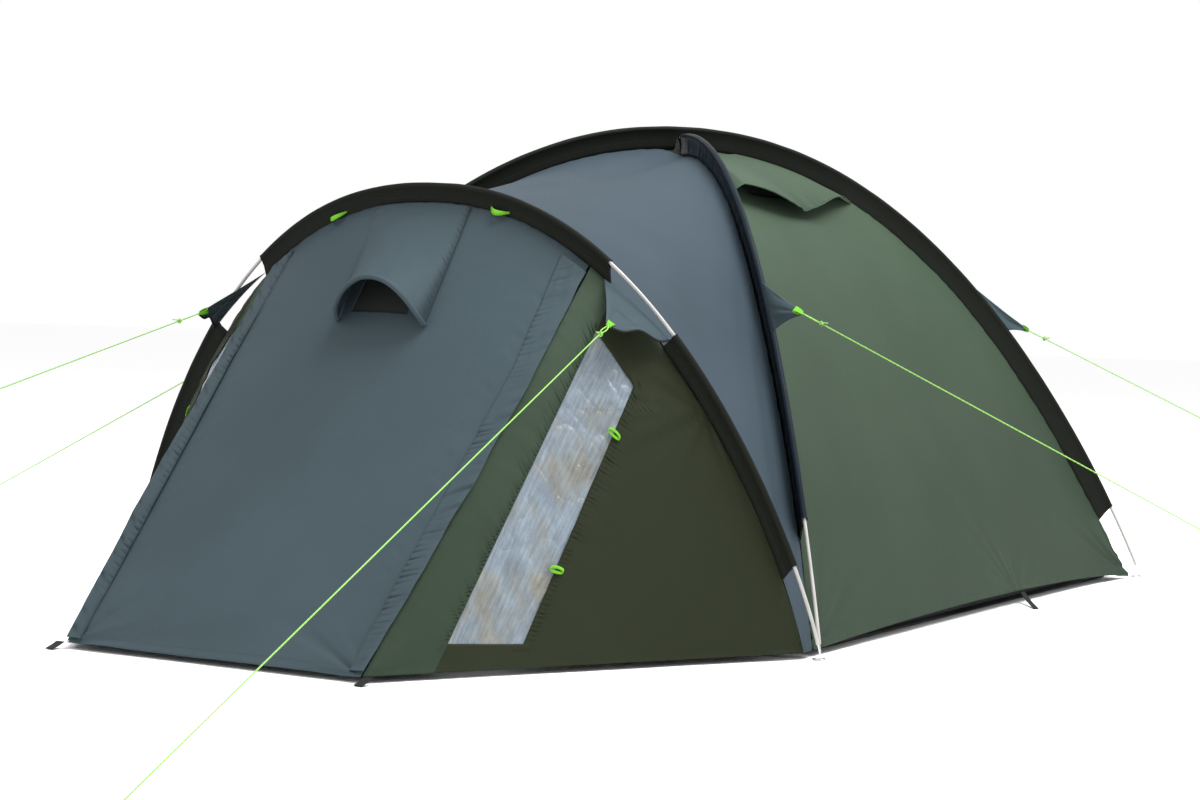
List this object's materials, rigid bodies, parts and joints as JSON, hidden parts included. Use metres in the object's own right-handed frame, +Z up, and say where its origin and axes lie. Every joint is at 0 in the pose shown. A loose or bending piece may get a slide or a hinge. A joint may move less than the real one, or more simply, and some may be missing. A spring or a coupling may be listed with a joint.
{
  "type": "dome tent",
  "caption": "Dome tent with a front porch, pitched: crossing bent poles in fabric sleeves, leaning porch pole, flysheet with a zipped door and hooded vents, inner tent, guylines",
  "frame": {"origin": "on the ground, in the middle of the tent's box, guylines left out", "axes": "+X to the right of somebody facing the back of the tent from the door, -Y out of the door, +Z up"},
  "size_m": [4.1818, 4.671, 1.3082],
  "materials": {
    "slate_fabric": "coated polyester taffeta, slate grey",
    "roof_fabric": "coated polyester taffeta, blue grey",
    "green_fabric": "coated polyester taffeta, sage green",
    "olive_fabric": "coated polyester taffeta, dark olive",
    "black_fabric": "woven polyester sleeve, near black",
    "black_webbing": "flat woven webbing, black",
    "inner_fabric": "breathable nylon, pale grey",
    "groundsheet": "coated woven groundsheet, black",
    "clear_film": "clear flexible film with fine creases",
    "fibreglass": "pale fibreglass rod",
    "steel": "plated steel wire and pins",
    "lime_cord": "braided cord, lime green",
    "black_plastic": "moulded plastic, black"
  },
  "bodies": {
    "root": {"corner_ring_front_left": "steel", "corner_ring_front_right": "steel", "corner_ring_rear_left": "steel", "corner_ring_rear_right": "steel", "door_corner_loop_left": "black_webbing", "door_corner_loop_right": "black_webbing", "fly_left_gore": "green_fabric", "fly_rear_gore": "slate_fabric", "fly_right_gore": "green_fabric", "fly_roof_gore": "roof_fabric", "groundsheet_tub": "groundsheet", "guy_tab_front_left": "slate_fabric", "guy_tab_front_right": "slate_fabric", "guy_tab_porch_left": "slate_fabric", "guy_tab_porch_right": "slate_fabric", "guy_tab_rear_left": "slate_fabric", "guy_tab_rear_right": "slate_fabric", "guyline_front_left": "lime_cord", "guyline_front_right": "lime_cord", "guyline_porch_left": "lime_cord", "guyline_porch_right": "lime_cord", "guyline_rear_right": "lime_cord", "hem_loop_left": "black_webbing", "hem_loop_right": "black_webbing", "inner_tent": "inner_fabric", "main_pole_lower_front": "fibreglass", "main_pole_lower_middle": "fibreglass", "main_pole_lower_rear": "fibreglass", "main_pole_upper_front": "fibreglass", "main_pole_upper_middle": "fibreglass", "main_pole_upper_rear": "fibreglass", "porch_pole_left": "fibreglass", "porch_pole_right": "fibreglass", "porch_pole_top": "fibreglass", "porch_side_left": "olive_fabric", "porch_side_right": "olive_fabric", "porch_sleeve_left": "black_fabric", "porch_sleeve_right": "black_fabric", "porch_sleeve_top": "black_fabric", "porch_window_left": "clear_film", "porch_window_right": "clear_film", "sleeve_lower_front": "roof_fabric", "sleeve_lower_rear": "black_fabric", "sleeve_upper": "black_fabric"},
    "door": {"door_panel": "slate_fabric", "door_storm_flap_left": "slate_fabric", "door_storm_flap_right": "slate_fabric", "door_vent_hood": "slate_fabric", "door_toggle_left": "lime_cord", "door_toggle_right": "lime_cord"},
    "inner_door": {"inner_door": "inner_fabric"},
    "side_vent_left": {"side_vent_hood_left": "green_fabric"},
    "side_vent_right": {"side_vent_hood_right": "green_fabric"},
    "zip_left": {"zip_slider_left": "black_plastic"},
    "zip_right": {"zip_slider_right": "black_plastic"},
    "runner_front_right": {"guy_runner_front_right": "black_plastic"},
    "runner_front_left": {"guy_runner_front_left": "black_plastic"},
    "runner_rear_right": {"guy_runner_rear_right": "black_plastic"},
    "runner_porch_right": {"guy_runner_porch_right": "black_plastic"},
    "runner_porch_left": {"guy_runner_porch_left": "black_plastic"}
  },
  "joints": [
    {"name": "door_lift", "type": "hinge", "parent": "root", "child": "door", "pos_m": [0, -0.809, 1.028], "axis": [-1, 0, 0], "range_deg": [0, 95]},
    {"name": "inner_door_drop", "type": "hinge", "parent": "root", "child": "inner_door", "pos_m": [0, -0.53003, 0.135], "axis": [1, 0, 0], "range_deg": [0, 120]},
    {"name": "side_vent_left_lift", "type": "hinge", "parent": "root", "child": "side_vent_left", "pos_m": [-0.11044, 0.479, 1.22188], "axis": [0, 1, 0], "range_deg": [0, 12]},
    {"name": "side_vent_right_lift", "type": "hinge", "parent": "root", "child": "side_vent_right", "pos_m": [0.11044, 0.479, 1.22188], "axis": [0, -1, 0], "range_deg": [0, 12]},
    {"name": "zip_left_slide", "type": "slide", "parent": "root", "child": "zip_left", "axis": [-0.0431, 0.6793, 0.7326], "range_m": [0, 1.05]},
    {"name": "zip_right_slide", "type": "slide", "parent": "root", "child": "zip_right", "axis": [0.0431, 0.6793, 0.7326], "range_m": [0, 1.05]},
    {"name": "runner_front_right_slide", "type": "slide", "parent": "root", "child": "runner_front_right", "axis": [-0.8609, -0.2357, 0.4508], "range_m": [-0.02, 0.3]},
    {"name": "runner_front_left_slide", "type": "slide", "parent": "root", "child": "runner_front_left", "axis": [0.7846, 0.3632, 0.5025], "range_m": [-0.02, 0.3]},
    {"name": "runner_rear_right_slide", "type": "slide", "parent": "root", "child": "runner_rear_right", "axis": [-0.8851, -0.1782, 0.4299], "range_m": [-0.02, 0.3]},
    {"name": "runner_porch_right_slide", "type": "slide", "parent": "root", "child": "runner_porch_right", "axis": [-0.1618, 0.9306, 0.3284], "range_m": [-0.02, 0.3]},
    {"name": "runner_porch_left_slide", "type": "slide", "parent": "root", "child": "runner_porch_left", "axis": [0.6515, 0.659, 0.3759], "range_m": [-0.02, 0.3]}
  ]
}
